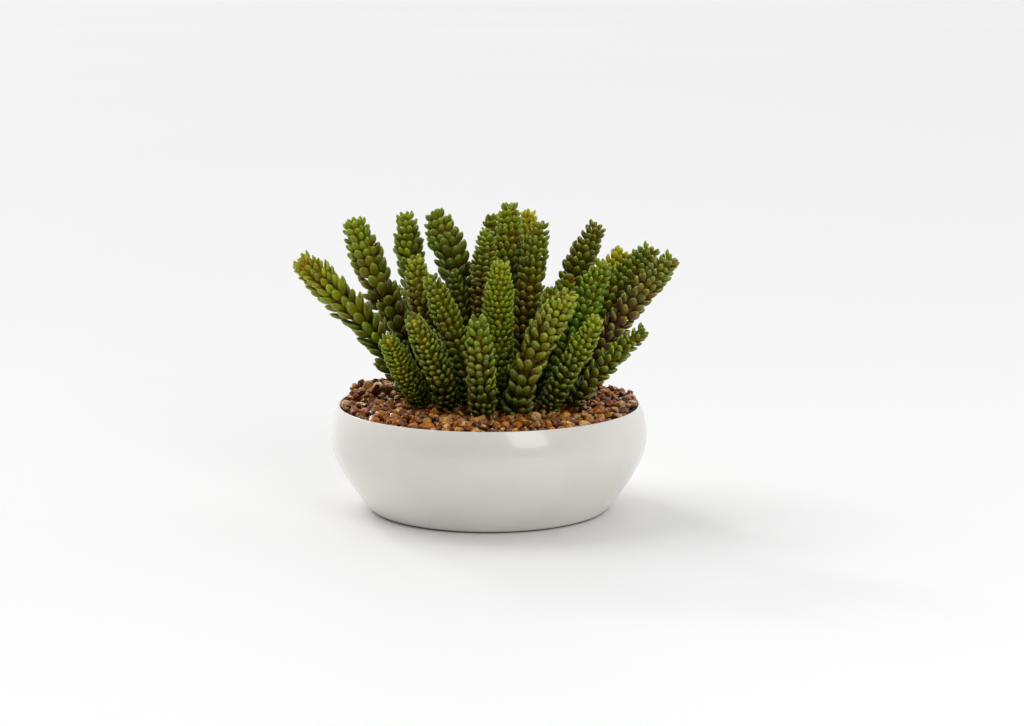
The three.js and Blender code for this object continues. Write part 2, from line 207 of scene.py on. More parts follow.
# Every stem in the order of its node's number: base, tip, bow and reach much as in the solids, the
# record's slot, the setting of its leaves, its colours from the stones to the tip, and the flush
# that some of its leaves have, with how many.
STEMS = [
    ((-42, -11), (-62, -46, 115), 0, 8.6, "leaf_bright", FINE, (MOSS, GREEN, LIME), (OLIVE, 0.2)),
    ((-24, -23), (-46, -56, 128.5), 2, 9.2, "leaf_green", BEADS, (DEEP, DEEP, GREEN), (OLIVE, 0.3)),
    ((-3, -48), (-6, -66, 130), 0, 9.5, "leaf_green", WHORLS, (DEEP, DEEP, GREEN), (OLIVE, 0.2)),
    ((17, -40), (50, -56, 144), -6, 10.4, "leaf_green", PLUMP, (MOSS, OLIVE, LIME), (MAUVE, 0.35)),
    ((35, -30), (67, -48, 128), 0, 8.4, "leaf_green", BEADS, (DEEP, MOSS, LIME), (OLIVE, 0.1)),
    ((49, -24), (96, -34, 118.5), -2.5, 7.8, "leaf_deep", BROAD, (DEEP, MOSS, MOSS), (OLIVE, 0.2)),
    ((-46, 12), (-118.5, 0, 157), 6, 11.6, "leaf_green", LOOSE, (DEEP, GREEN, LEMON), (RUSSET, 0.45)),
    ((-11, -18), (-36, -32, 151), 3, 9, "leaf_green", BEADS, (DEEP, MOSS, GREEN), (OLIVE, 0.3)),
    ((10, -22), (8, -32, 160), -3, 10, "leaf_bright", FINE, (MOSS, GREEN, LIME), (LEMON, 0.2)),
    ((27, -6), (40, -12, 141), -1, 7.5, "leaf_green", CLOSE, (DEEP, MOSS, GREEN), (OLIVE, 0.2)),
    ((38, -12), (72, -10, 157), -2, 10, "leaf_bright", CLOSE, (MOSS, BLUISH, GREEN), (LIME, 0.2)),
    ((50, -10), (115.5, -6, 160.2), -5.4, 9.6, "leaf_russet", BROAD, (RUSSET, MAUVE, GREEN), (MAUVE, 0.5)),
    ((-25, 4), (-46, -4, 159), -3, 9.6, "leaf_russet", CLOSE, (MAROON, RUSSET, LIME), (MAROON, 0.4)),
    ((-13, 8), (-23, 8, 149), 4, 7.5, "leaf_deep", CLOSE, (DEEP, DEEP, MOSS), (RUSSET, 0.3)),
    ((3, -3), (-1, 6, 175), -4, 9, "leaf_russet", STACKED, (MAROON, MAROON, GREEN), (RUSSET, 0.4)),
    ((23, 4), (33, 14, 179), -4, 9.4, "leaf_green", CLOSE, (DEEP, OLIVE, GREEN), (AMBER, 0.35)),
    ((37, 10), (51, 12, 146), -3, 7.5, "leaf_green", CLOSE, (DEEP, OLIVE, LIME), (AMBER, 0.3)),
    ((50, 6), (103.4, 16, 163), -8, 10.8, "leaf_green", CLOSE, (DEEP, MOSS, GREEN), (AMBER, 0.35)),
    ((-34, 30), (-86.5, 32, 178.8), -4.6, 11.4, "leaf_deep", LARGE, (RUSSET, OLIVE, LIME), (GREEN, 0.4)),
    ((-10, 24), (-35, 28, 184.4), 6.6, 12, "leaf_deep", LARGE, (DEEP, GREYISH, GREEN), (OLIVE, 0.3)),
    ((12, 18), (13, 30, 189), 0, 10, "leaf_green", CLOSE, (DEEP, MOSS, LIME), (AMBER, 0.4)),
    ((36, 24), (70, 40, 175.4), -6.4, 9.8, "leaf_deep", BROAD, (DEEP, OLIVE, MOSS), (MAUVE, 0.4)),
    ((50, 22), (85.5, 28, 160), -6, 10, "leaf_bright", CLOSE, (OLIVE, LIME, SUNLIT), (AMBER, 0.2)),
    ((-30, 50), (-53.5, 48, 181.2), -4.6, 10, "leaf_green", BROAD, (DEEP, GREEN, LIME), (LEMON, 0.4)),
    ((2, 40), (2, 52, 180), 0, 9, "leaf_green", CLOSE, (DEEP, OLIVE, LIME), (AMBER, 0.5)),
    ((24, 38), (25, 54, 182.2), 0, 9.5, "leaf_bright", CLOSE, (GREEN, LIME, SUNLIT), (LEMON, 0.4)),
    ((-44, 52), (-64, 76, 130), 3, 9, "leaf_russet", BROAD, (MAROON, OLIVE, GREEN), (RUSSET, 0.4)),
    ((-12, 58), (-20, 92, 142), -2, 9, "leaf_deep", CLOSE, (DEEP, MOSS, GREEN), (OLIVE, 0.2)),
    ((32, 58), (38, 94, 124), 0, 9, "leaf_green", BEADS, (DEEP, MOSS, LIME), (OLIVE, 0.2)),
    ((52, 42), (88, 70, 128), -4, 9, "leaf_deep", CLOSE, (DEEP, MOSS, GREEN), (OLIVE, 0.2)),
]

# Floor, camera and room
FLOOR_REACH = 60
CAMERA_AIM = (0.0145, 0, 0.092)
CAMERA_DISTANCE = 1.5
CAMERA_DOWN = math.radians(9.75)
CAMERA_LENS = 83.6
CAMERA_SENSOR = 36
ROOM_SPAN = (-0.9, 0.5)  # from the front towards the back, between which its brightness changes
ROOM_BRIGHTNESS = (0.19, 1.0)


def linear(colour):
    """The shader's numbers for a colour written as #rrggbb."""
    parts = [int(colour[i : i + 2], 16) / 255 for i in (1, 3, 5)]
    return [c / 12.92 if c <= 0.04045 else ((c + 0.055) / 1.055) ** 2.4 for c in parts] + [1]


def smooth_step(x, low, high):
    """From 0 at low to 1 at high, levelling out at both."""
    x = np.clip((x - low) / (high - low), 0, 1)
    return x * x * (3 - 2 * x)


def unit(v):
    """Vectors scaled to a length of 1."""
    return v / np.linalg.norm(v, axis=-1, keepdims=True)


def stones_height(x, y):
    """The stones' mean surface in the solids."""
    return STONES_AT_RIM + STONES_MOUND * (1 - (x * x + y * y) / RIM_RADIUS**2)


def heap_height(x, y):
    """The loose stones' mean top, heaped up against the bowl's rim."""
    back = np.clip(y / RIM_RADIUS, 0, 1)
    along_rim = HEAPING + BACK_HEAPING * back + SIDE_HEAPING * (x / RIM_RADIUS) ** 4
    left_x, left_y = LEFT_HEAP_PLACE
    left = np.exp(-((x - left_x) ** 2 + (y - left_y) ** 2) / (2 * LEFT_HEAP_SPREAD**2))
    return stones_height(x, y) + along_rim * smooth_step(np.hypot(x, y), *HEAP_BAND) + LEFT_HEAP * left


def piece_of(name, points, triangles, material, slot, values=None):
    """A smooth mesh object from points in millimetres, with one number per point under each name."""
    mesh = bpy.data.meshes.new(name)
    mesh.vertices.add(len(points))
    mesh.vertices.foreach_set("co", (np.asarray(points) * MM).astype(np.float32).ravel())
    corners = np.asarray(triangles, dtype=np.int32)
    mesh.loops.add(corners.size)
    mesh.loops.foreach_set("vertex_index", corners.ravel())
    mesh.polygons.add(len(corners))
    mesh.polygons.foreach_set("loop_start", np.arange(0, corners.size, 3, dtype=np.int32))
    mesh.polygons.foreach_set("use_smooth", np.full(len(corners), True))
    mesh.update()
    for key, numbers in (values or {}).items():
        layer = mesh.attributes.new(key, "FLOAT", "POINT")
        layer.data.foreach_set("value", np.asarray(numbers, dtype=np.float32))
    mesh.materials.append(material)
    piece = bpy.data.objects.new(name, mesh)
    bpy.context.scene.collection.objects.link(piece)
    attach(piece, "root")
    return piece


def closed_rings(rings, sides, reverse=False):
    """Triangles of a closed surface whose points are rings, one after the other, and then its two
    ends. Reverse turns its faces round."""
    k = np.arange(sides)
    after = (k + 1) % sides
    triangles = []
    for ring in range(rings - 1):
        low, high = ring * sides, (ring + 1) * sides
        triangles.append(np.stack([low + k, low + after, high + after], axis=1))
        triangles.append(np.stack([low + k, high + after, high + k], axis=1))
    first_end, last_end = rings * sides, rings * sides + 1
    last = (rings - 1) * sides
    triangles.append(np.stack([np.full(sides, first_end), after, k], axis=1))
    triangles.append(np.stack([np.full(sides, last_end), last + k, last + after], axis=1))
    triangles = np.concatenate(triangles)
    return triangles[:, [0, 2, 1]] if reverse else triangles


# Materials


class Shader:
    """A material's node tree, with one call for each node."""

    def __init__(self, name):
        self.material = bpy.data.materials.new(name)
        self.material.use_nodes = True
        self.tree = self.material.node_tree
        self.surface = self.tree.nodes["Principled BSDF"]

    def node(self, kind, inputs=None, **settings):
        """A new node with values or links on its inputs."""
        made = self.tree.nodes.new("ShaderNode" + kind)
        for key, value in settings.items():
            setattr(made, key, value)
        for key, value in (inputs or {}).items():
            self.set(made.inputs[key], value)
        return made

    def set(self, socket, value):
        if isinstance(value, bpy.types.NodeSocket):
            self.tree.links.new(value, socket)
        else:
            socket.default_value = value

    def attribute(self, name):
        return self.node("Attribute", attribute_name=name).outputs["Fac"]

    def math(self, operation, *values):
        made = self.node("Math", operation=operation)
        for socket, value in zip(made.inputs, values):
            self.set(socket, value)
        return made.outputs[0]

    def product(self, a, b):
        return self.math("MULTIPLY", a, b)

    def scaled(self, value, gain, offset):
        return self.math("MULTIPLY_ADD", value, gain, offset)

    def redrawn(self, draw, gain):
        """Another draw from 0 to 1 made from the first one."""
        return self.math("FRACT", self.product(draw, gain))

    def span(self, value, low, high, to_low=0.0, to_high=1.0):
        """A smooth step from one number at low to another at high."""
        inputs = {"Value": value, "From Min": low, "From Max": high, "To Min": to_low, "To Max": to_high}
        return self.node("MapRange", inputs, interpolation_type="SMOOTHSTEP").outputs["Result"]

    def mix(self, factor, a, b):
        made = self.node("Mix", data_type="RGBA", blend_type="MIX")
        self.set(made.inputs["Factor"], factor)
        self.set(made.inputs[6], a)
        self.set(made.inputs[7], b)
        return made.outputs[2]

    def ramp(self, value, stops):
        made = self.node("ValToRGB", {"Fac": value})
        elements = made.color_ramp.elements
        while len(elements) < len(stops):
            elements.new(1)
        for element, (place, colour) in zip(elements, stops):
            element.position = place
            element.color = linear(colour)
        return made.outputs["Color"]

    def place(self):
        return self.node("TexCoord").outputs["Object"]

    def upright(self, vector):
        """A vector's part along Z."""
        return self.node("SeparateXYZ", {"Vector": vector}).outputs["Z"]

    def noise(self, scale, detail=3.0, roughness=0.55):
        inputs = {"Vector": self.place(), "Scale": scale, "Detail": detail, "Roughness": roughness}
        return self.node("TexNoise", inputs).outputs["Fac"]

    def bump(self, height, strength, distance):
        inputs = {"Height": height, "Strength": strength, "Distance": distance}
        self.set(self.surface.inputs["Normal"], self.node("Bump", inputs).outputs["Normal"])

    def finish(self, **values):
        for key, value in values.items():
            self.set(self.surface.inputs[key.replace("_", " ")], value)
        return self.material


def leaf_material(name, colours, flush):
    """Waxy leaf: its colour changes up the stem, from its root to its tip and from leaf to leaf, with a
    painted highlight on its rim and painted shade towards the stones.
    """
    look = Shader(name)
    draw = look.attribute("leaf_draw")
    along = look.attribute("leaf_along")
    height = look.attribute("stem_share")
    share = look.math("ADD", height, look.scaled(draw, 0.2, -0.1))
    body = look.ramp(share, list(zip((0.12, 0.55, 1.0), colours)))
    # Flushed leaves, and amber and dark patches on all of them
    tint, amount = flush
    blur = 0.15
    chosen = look.span(look.redrawn(draw, 7.31), 1 - amount - blur, 1 - amount + blur)
    patchy = look.span(look.noise(110), 0.4, 0.62)
    body = look.mix(look.product(chosen, look.product(patchy, 0.65)), body, linear(tint))
    body = look.mix(look.span(look.noise(60, 2.0), 0.47, 0.63, 0, 0.24), body, linear(AMBER))
    body = look.mix(look.span(look.noise(85, 2.0), 0.5, 0.36, 0, 0.25), body, linear(DEEP))
    # From a leaf's brownish root to its bright yellow-green tip, then a painted highlight: a pale rim
    # painted along its edges and on its point, standing in for the light they catch
    root = look.ramp(share, list(zip((0.1, 0.55, 1.0), LEAF_ROOTS)))
    body = look.mix(look.span(along, 0.62, 0.05, 0, 0.68), body, root)
    body = look.mix(look.span(along, 0.6, 1.0, 0, 0.4), body, linear(LEAF_TIP))
    sides = look.product(look.span(look.attribute("leaf_edge"), 0.9, 1.0), look.span(along, 0.35, 0.7))
    rim = look.math("MAXIMUM", look.span(along, 0.9, 1.0), sides)
    body = look.mix(look.product(rim, 0.55), body, linear(LEAF_RIM_HIGHLIGHT))
    # Painted shade: darker towards the stones, standing in for the shade low in the clump; also mottled,
    # and unlike from leaf to leaf
    mottle_and_shade = look.span(look.noise(900, 2.0), 0.3, 0.7, 0.82, 1.16)
    mottle_and_shade = look.product(mottle_and_shade, look.span(height, 0.0, 0.4, 0.55, 1.0))
    value = look.product(mottle_and_shade, look.scaled(look.redrawn(draw, 3.77), 0.46, 0.76))
    body = look.node("HueSaturation", {"Value": value, "Color": body}).outputs["Color"]
    look.bump(look.noise(650, 2.0), 0.25, 0.0004)
    wax = look.scaled(look.noise(260), 0.2, 0.26)
    return look.finish(
        Base_Color=body, Roughness=wax, Specular_IOR_Level=0.15, Coat_Weight=0.3, Coat_Roughness=0.22,
        Subsurface_Weight=0.7, Subsurface_Radius=(0.5, 0.55, 0.08), Subsurface_Scale=0.006,
    )


def stone_material():
    """Small glossy, wet-looking stones in browns, tans and greys, each with its own colour and veins, with
    painted shade low down and on their steep sides.
    """
    look = Shader("glossy_stones_with_painted_shade")
    draw = look.attribute("stone_draw")
    stops = [
        (0.0, "#7c3208"),
        (0.1, "#b8560c"),
        (0.22, "#ce7214"),
        (0.35, "#dc8c26"),
        (0.49, "#eca848"),
        (0.6, "#f8d284"),
        (0.67, "#ba661a"),
        (0.76, "#8c501c"),
        (0.83, "#806450"),
        (0.9, "#2a2a28"),
        (1.0, "#a8441c"),
    ]
    body = look.ramp(draw, stops)
    body = look.mix(look.span(look.noise(330, 4.0), 0.45, 0.6, 0, 0.6), body, linear("#4a1e06"))
    body = look.mix(look.span(look.noise(500, 3.0), 0.5, 0.6, 0, 0.35), body, linear("#f4c484"))
    # Painted shade: each stone is darker low down and on its steep sides
    body = look.mix(look.span(look.attribute("stone_rise"), 0.62, 0.2, 0, 0.85), body, linear("#180a04"))
    facing = look.upright(look.node("NewGeometry").outputs["Normal"])
    body = look.mix(look.span(facing, 0.8, -0.1, 0, 0.8), body, linear("#3a1a08"))
    look.bump(look.noise(700, 2.0), 0.15, 0.0004)
    rough = look.scaled(look.noise(500), 0.3, 0.04)
    return look.finish(
        Base_Color=body, Roughness=rough, Specular_IOR_Level=0.12, Coat_Weight=0.45, Coat_Roughness=0.06,
    )


def bed_material():
    look = Shader("dark_bed_painted_shade")
    # Painted shade: the bed's dark browns stand in for the shade in the gaps between the loose stones
    body = look.ramp(look.noise(520, 4.0), [(0.3, "#1c120a"), (0.55, "#3a2414"), (0.75, "#6a4526")])
    look.bump(look.noise(900, 4.0), 0.8, 0.001)
    return look.finish(Base_Color=body, Roughness=0.6)


def soil_material():
    look = Shader("potting_soil")
    body = look.ramp(look.noise(340, 6.0), [(0.3, "#140d08"), (0.55, "#2e2016"), (0.72, "#4c3726")])
    look.bump(look.noise(480, 6.0), 1.0, 0.002)
    return look.finish(Base_Color=body, Roughness=look.scaled(look.noise(200), 0.3, 0.7))


def glaze_material():
    """Smooth off-white glaze, a little cloudy, with faint specks and a painted contact shadow, a dark band
    round the foot's lowest edge.
    """
    look = Shader("white_glaze")
    body = look.ramp(look.noise(22, 4.0), [(0.25, "#e2ddd5"), (0.5, "#e6e2da"), (0.78, "#eae6df")])
    specks = look.span(look.noise(1500, 1.0), 0.74, 0.8, 0, 0.35)
    body = look.mix(specks, body, linear("#b9b2a6"))
    # Painted contact shadow: a dark band round the lowest millimetre of the foot
    body = look.mix(look.span(look.upright(look.place()), 0.0012, 0.0007), body, linear("#5c544a"))
    look.bump(look.noise(70, 2.0), 0.05, 0.0006)
    rough = look.scaled(look.noise(45), 0.12, 0.26)
    return look.finish(Base_Color=body, Roughness=rough, Coat_Weight=0.9, Coat_Roughness=0.1)


# Bowl


def curve_points(start, pull, end, steps):
    """A curve from its start to its end, pulled towards the point where its end tangents meet."""
    t = np.linspace(0, 1, steps + 1)[:, None]
    return (1 - t) ** 2 * np.array(start) + 2 * t * (1 - t) * np.array(pull) + t * t * np.array(end)


def arc_points(centre, radii, first, last, steps):
    """An arc of an upright ellipse, from one angle to another in degrees."""
    angle = np.radians(np.linspace(first, last, steps + 1))
    return np.stack([centre[0] + radii[0] * np.cos(angle), centre[1] + radii[1] * np.sin(angle)], axis=1)


def bowl_profile():
    """The bowl's section from the middle of its underside to the middle of its floor inside."""
    foot_centre = (FOOT_RADIUS - FOOT_ROUNDING, FOOT_ROUNDING)
    foot = arc_points(foot_centre, (FOOT_ROUNDING, FOOT_ROUNDING), -90, -20, FOOT_STEPS)
    belly = (BELLY_RADIUS, BELLY_HEIGHT)
    rim = (RIM_RADIUS, RIM_HEIGHT)
    lower = curve_points((FOOT_RADIUS, 0), (BELLY_RADIUS, LOWER_WALL_PULL), belly, LOWER_WALL_STEPS)
    upper = curve_points(belly, (BELLY_RADIUS, UPPER_WALL_PULL), rim, UPPER_WALL_STEPS)
    lip_centre = (RIM_RADIUS - LIP / 2, RIM_HEIGHT)
    lip = arc_points(lip_centre, (LIP / 2, LIP_HEIGHT - RIM_HEIGHT), 20, 180, LIP_STEPS)
    # The wall inside, down to the floor under the soil
    inside = [
        (RIM_RADIUS - LIP + 0.2, RIM_HEIGHT - 3),
        (BELLY_RADIUS - WALL - 1.2, BELLY_HEIGHT + 9),
        (BELLY_RADIUS - WALL, BELLY_HEIGHT),
        (BELLY_RADIUS - WALL - 4, BELLY_HEIGHT - 16),
        (FLOOR_RADIUS + 4, FLOOR_TOP + 3),
        (FLOOR_RADIUS, FLOOR_TOP),
    ]
    outside = foot, lower[lower[:, 1] > FOOT_ROUNDING], upper[1:], lip[1:]
    return np.concatenate([[(0, 0)], *outside, inside, [(0, FLOOR_TOP)]])


def turned(profile, sides):
    """A solid of revolution about +Z from a profile that starts and ends on the axis."""
    rings = profile[1:-1]
    angle = np.arange(sides) * 2 * math.pi / sides
    x = rings[:, :1] * np.cos(angle)
    y = rings[:, :1] * np.sin(angle)
    z = np.repeat(rings[:, 1:], sides, axis=1)
    ends = [[0, 0, profile[0, 1]], [0, 0, profile[-1, 1]]]
    points = np.concatenate([np.stack([x, y, z], axis=2).reshape(-1, 3), ends])
    return points, closed_rings(len(rings), sides)


bowl = piece_of("glazed_bowl", *turned(bowl_profile(), BOWL_SIDES), glaze_material(), "bowl_glaze")
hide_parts("bowl")

# Stones


def unit_ball(subdivisions):
    """Points and triangles of an even ball of radius 1."""
    made = bmesh.new()
    bmesh.ops.create_icosphere(made, subdivisions=subdivisions, radius=1)
    points = np.array([v.co for v in made.verts])
    triangles = np.array([[v.index for v in f.verts] for f in made.faces])
    made.free()
    return points, triangles


def scatter(rng, classes):
    """Places and radii of stones in the bowl's mouth that hardly overlap, from large to small."""
    cell = 2 * classes[0][1]
    grid = {}
    placed = []
    for low, high, tries in classes:
        radius = rng.uniform(low, high, tries)
        far = (STONES_RADIUS - STONE_INSIDE * radius) * np.sqrt(rng.uniform(0, 1, tries))
        angle = rng.uniform(0, 2 * math.pi, tries)
        for x, y, r in zip(far * np.cos(angle), far * np.sin(angle), radius):
            i, j = int(x // cell), int(y // cell)
            near = (c for a in (-1, 0, 1) for b in (-1, 0, 1) for c in grid.get((i + a, j + b), ()))
            if all((x - u) ** 2 + (y - v) ** 2 > (STONE_GAP * (r + s)) ** 2 for u, v, s in near):
                grid.setdefault((i, j), []).append((x, y, r))
                placed.append((x, y, r))
    return np.array(placed)


def turns(rng, count, tilt):
    """Rotation matrices: any turn about +Z after tilts of up to so many radians about X and Y."""
    a, b = rng.uniform(-tilt, tilt, (2, count))
    c = rng.uniform(0, 2 * math.pi, count)
    one, none = np.ones(count), np.zeros(count)
    about_x = np.array([[one, none, none], [none, np.cos(a), -np.sin(a)], [none, np.sin(a), np.cos(a)]])
    about_y = np.array([[np.cos(b), none, np.sin(b)], [none, one, none], [-np.sin(b), none, np.cos(b)]])
    about_z = np.array([[np.cos(c), -np.sin(c), none], [np.sin(c), np.cos(c), none], [none, none, one]])
    return np.einsum("ijn,jkn,kln->nil", about_z, about_y, about_x)


def worn_balls(rng, ball, count):
    """Balls of radius 1 with lumps, worn flat in places, as one row of points for each stone."""
    lumps = np.ones((count, len(ball)))
    for strength in STONE_LUMPS:
        wave = rng.normal(0, LUMP_WAVES, (count, 3))
        phase = rng.uniform(0, 2 * math.pi, (count, 1))
        lumps += strength * np.sin(wave @ ball.T + phase)
    bodies = ball[None] * lumps[:, :, None]
    for _ in range(STONE_FACES):
        worn = unit(rng.normal(0, 1, (count, 3)))
        depth = rng.uniform(*STONE_WEAR, (count, 1))
        over = np.maximum(np.einsum("nki,ni->nk", bodies, worn) - depth, 0)
        bodies -= over[:, :, None] * worn[:, None, :]
    return bodies


def stones_piece(name, seed, classes, lift, material):
    """A layer of loose stones whose tops lie between two heights over the heap's mean surface."""
    rng = np.random.default_rng(seed)
    ball, triangles = unit_ball(2)
    x, y, radius = scatter(rng, classes).T
    count = len(x)
    shape = np.stack([rng.uniform(*span, count) for span in STONE_SHAPE], axis=1)
    bodies = worn_balls(rng, ball, count)
    bodies *= STONE_GROWTH * (shape * radius[:, None])[:, None, :]
    bodies = np.einsum("nij,nkj->nki", turns(rng, count, STONE_TILT), bodies)
    top = heap_height(x, y) + rng.uniform(*lift, count)
    bodies[:, :, 0] += x[:, None]
    bodies[:, :, 1] += y[:, None]
    bodies[:, :, 2] += (top - bodies[:, :, 2].max(axis=1))[:, None]
    corners = triangles[None] + len(ball) * np.arange(count)[:, None, None]
    heights = bodies[:, :, 2]
    rises = (heights - heights.min(axis=1)[:, None]) / np.ptp(heights, axis=1)[:, None]
    values = {"stone_draw": np.repeat(rng.uniform(0, 1, count), len(ball)), "stone_rise": rises.ravel()}
    made = piece_of(name, bodies.reshape(-1, 3), corners.reshape(-1, 3), material, "stones", values)
    made.data.set_sharp_from_angle(angle=STONE_EDGE)
    return made


def bed_piece(material):
    """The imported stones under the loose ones: a disc with an uneven top."""
    rng = np.random.default_rng(BED_SEED)
    share = np.linspace(0, 1, BED_RINGS + 1)[1:]
    angle = np.arange(BED_SIDES) * 2 * math.pi / BED_SIDES
    reach = STONES_RADIUS - BED_INSIDE
    x = reach * share[:, None] * np.cos(angle)
    y = reach * share[:, None] * np.sin(angle)
    z = heap_height(x, y) - BED_DEPTH + rng.uniform(-BED_ROUGHNESS, BED_ROUGHNESS, x.shape)
    upper = np.stack([x, y, z], axis=2).reshape(-1, 3)
    bottom = SOIL_TOP + SEAT_GAP
    rim = upper[-BED_SIDES:] * [1, 1, 0] + [0, 0, bottom]
    ends = [[0, 0, stones_height(0, 0) - BED_DEPTH], [0, 0, bottom]]
    points = np.concatenate([upper, rim, ends])
    triangles = closed_rings(BED_RINGS + 1, BED_SIDES, reverse=True)
    return piece_of("stones_bed", points, triangles, material, "stones")


stone_look = stone_material()
loose = stones_piece("stones_top", TOP_SEED, TOP_STONES, TOP_LIFT, stone_look)
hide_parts("stones")
stones_piece("stones_below", LOW_SEED, LOW_STONES, LOW_LIFT, stone_look)
bed_piece(bed_material())

# Leafy stems


class Axis:
    """A stem's middle line, with distances along it measured from the stones."""

    def __init__(self, base, tip, bow):
        start = np.array([*base, stones_height(*base)], dtype=float)
        end = np.array(tip, dtype=float)
        pull = (start + end) / 2 + [2 * bow, 0, 0]  # the curve goes half as far as its pull
        self.points = curve_points(start, pull, end, AXIS_STEPS)
        steps = np.linalg.norm(np.diff(self.points, axis=0), axis=1)
        self.reached = np.concatenate([[0], np.cumsum(steps)])
        self.length = self.reached[-1]
        self.tangents = unit(np.gradient(self.points, axis=0))

    def direction(self, distance):
        """The way towards the tip."""
        return unit(np.stack([np.interp(distance, self.reached, t) for t in self.tangents.T], axis=-1))

    def point(self, distance):
        """The point at a distance, on a straight line past either end."""
        on = np.stack([np.interp(distance, self.reached, p) for p in self.points.T], axis=-1)
        past = np.minimum(distance, 0) + np.maximum(distance - self.length, 0)
        return on + self.direction(distance) * past[..., None]

    def outwards(self, distance, angle):
        """The direction square to the axis at an angle from +X."""
        along = self.direction(distance)
        side = unit(np.array([1.0, 0, 0]) - along * along[..., :1])
        front = np.cross(along, side)
        return side * np.cos(angle)[..., None] + front * np.sin(angle)[..., None]

    def distance_to(self, points):
        """How far points are from the axis."""
        return np.linalg.norm(points[:, None] - self.points[None, ::NEAR_STEPS], axis=2).min(axis=1)


def leaf_template(rings, sides):
    """A plump leaf with a short point, of length, width and thickness 1: points as (along, across,
    up), triangles, and how near each point is to the leaf's edge."""
    along = (1 - np.cos(np.pi * np.arange(1, rings + 1) / (rings + 1))) / 2
    half = np.interp(along, *zip(*LEAF_HALF_WIDTHS)) / 2
    angle = np.arange(sides) * 2 * math.pi / sides
    up = np.sin(angle)
    up = np.where(up > 0, LEAF_TOP * up, up)
    outline = [np.repeat(along[:, None], sides, axis=1), half[:, None] * np.cos(angle), half[:, None] * up]
    points = np.concatenate([np.stack(outline, axis=2).reshape(-1, 3), [[0, 0, 0], [1, 0, 0]]])
    edge = np.concatenate([np.tile(np.abs(np.cos(angle)), rings), [0, TIP_EDGE]])
    return points, closed_rings(rings, sides), edge


def grown(setting, left):
    """A leaf's share of its full size, by its distance from the stem's tip."""
    return setting["young"] + (1 - setting["young"]) * smooth_step(left, *YOUNG_STRETCH)


def lowly(above_stones):
    """How close rings of leaves are for being low on a stem, by their distance from the stones."""
    return LOWEST_RINGS + (1 - LOWEST_RINGS) * smooth_step(above_stones, 0, LOW_STRETCH)


def leaf_reach(setting, left):
    """How far a leaf reaches away from its root, off the stem."""
    return setting["long"] * grown(setting, left) * math.sin(math.radians(setting["spread"]))


def root_radius(setting, reach, left):
    """How far from the stem's middle line a leaf starts, so that its tip ends at the stem's reach."""
    ends_at = REACH_GAIN * reach * (TIP_REACH + (1 - TIP_REACH) * smooth_step(left, 0, TIP_STRETCH))
    thickness = np.maximum(ends_at - leaf_reach(setting, left), THINNEST_CORE)
    return thickness * smooth_step(left, *CORE_TAPER)


def core_mesh(axis, setting, reach):
    """The stem under the leaves, as a closed tube: points, triangles and their shares of its length."""
    distance = np.linspace(-STALK_DEPTH, axis.length - CORE_END, CORE_RINGS)
    size = CORE_OVERLAP + root_radius(setting, reach, axis.length - distance)
    angle = np.arange(CORE_SIDES) * 2 * math.pi / CORE_SIDES
    d = np.repeat(distance[:, None], CORE_SIDES, axis=1)
    around = axis.outwards(d, np.repeat(angle[None], CORE_RINGS, axis=0))
    points = (axis.point(d) + around * size[:, None, None]).reshape(-1, 3)
    ends = distance[[0, -1]]
    share = np.concatenate([np.repeat(distance, CORE_SIDES), ends]) / axis.length
    points = np.concatenate([points, axis.point(ends)])
    return points, closed_rings(CORE_RINGS, CORE_SIDES), np.clip(share, 0, 1)


def leaf_rings(axis, setting, reach):
    """Distances of the rings of leaves from the stones, and how many leaves each ring has."""
    levels = [axis.length - FIRST_RING * setting["long"] * setting["young"]]
    while levels[-1] > LAST_RING:
        step = setting["step"] * grown(setting, axis.length - levels[-1]) * lowly(levels[-1])
        levels.append(levels[-1] - step)
    levels = np.array(levels[:-1])
    left = axis.length - levels
    # Leaves take their room half-way out from their roots to their tips
    around = 2 * math.pi * (root_radius(setting, reach, left) + 0.5 * leaf_reach(setting, left))
    room = setting["wide"] * setting["room"] * grown(setting, left) * lowly(levels) ** LOW_POWER
    room = room * (1 + TIP_ROOM * (1 - smooth_step(left, 0, TIP_ROOM_TO)))
    return levels, np.maximum(np.round(around / room), FEWEST_LEAVES).astype(int)


def leaf_places(rng, number, setting, levels, ring):
    """How far up the stem each leaf starts, and at which angle around it."""
    level = np.repeat(np.arange(len(levels)), ring)
    count = len(level)
    rise = levels[level] + rng.uniform(-RISE_DRAW, RISE_DRAW, count) * setting["step"]
    place = np.arange(count) - np.repeat(np.cumsum(ring) - ring, ring)
    place = place + setting["turn"] * level + rng.normal(0, PLACE_DRAW, len(levels))[level]
    place = place + rng.normal(0, PLACE_DRAW, count)
    return rise, number * STEM_TURN + 2 * math.pi * place / ring[level]


def slanted(along, out, spread):
    """Directions that spread by angles from the stem."""
    return along * np.cos(spread)[:, None] + out * np.sin(spread)[:, None]


def folded_back(axis, root, along, out, spread, long):
    """Spreads and lengths of leaves, once those that come near another stem are folded back."""
    others = [a for a in axes if a is not axis]
    for _ in range(FOLD_ROUNDS):
        tip = root + slanted(along, out, spread) * long[:, None]
        nearest = np.min([a.distance_to(tip) for a in others], axis=0)
        meets = axis.distance_to(tip) > FOLD_AT * nearest
        long = np.where(meets, FOLD_LENGTH * long, long)
        spread = np.where(meets, FOLD_SPREAD * spread, spread)
    return spread, long


def leaf_frames(rng, along, out, spread):
    """The ways of each leaf's length, width and thickness, rolled a little about its length."""
    ahead = unit(slanted(along, out, spread) + [0, 0, SEEKING_LIGHT])
    across = unit(np.cross(ahead, along))
    inwards = np.cross(across, ahead)
    roll = rng.normal(0, ROLL_DRAW, len(spread))[:, None]
    rolled_across = across * np.cos(roll) + inwards * np.sin(roll)
    rolled_inwards = inwards * np.cos(roll) - across * np.sin(roll)
    return ahead, rolled_across, rolled_inwards


